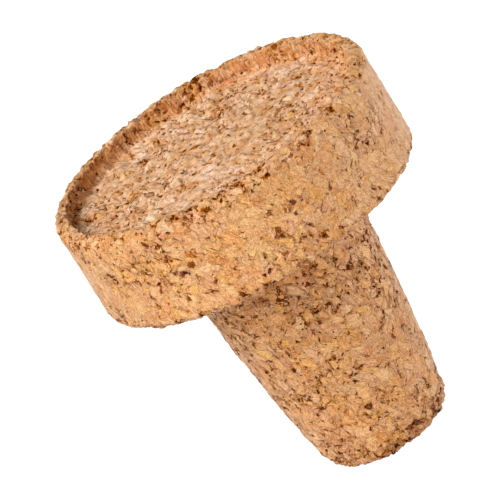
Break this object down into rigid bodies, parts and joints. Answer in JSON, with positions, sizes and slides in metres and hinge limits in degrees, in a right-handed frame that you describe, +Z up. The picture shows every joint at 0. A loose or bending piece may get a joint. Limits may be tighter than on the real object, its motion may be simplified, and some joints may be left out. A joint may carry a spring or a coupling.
{
  "type": "cork stopper",
  "caption": "T-shaped cork stopper: a broad disc head, dished on top inside a narrow raised rim, over a slightly bowed, tapered plug with a rounded tip.",
  "frame": {"origin": "middle of the plug's flat tip, on the surface that the stopper stands on", "axes": "+Z up along the stopper's axis, from the tip of the plug to the head; it is round about Z, so X and Y are free"},
  "size_m": [0.05, 0.05, 0.0534],
  "materials": {
    "cork": "agglomerated cork, pressed from granules, turned and left bare"
  },
  "bodies": {
    "root": {"stopper": "cork"}
  },
  "joints": []
}
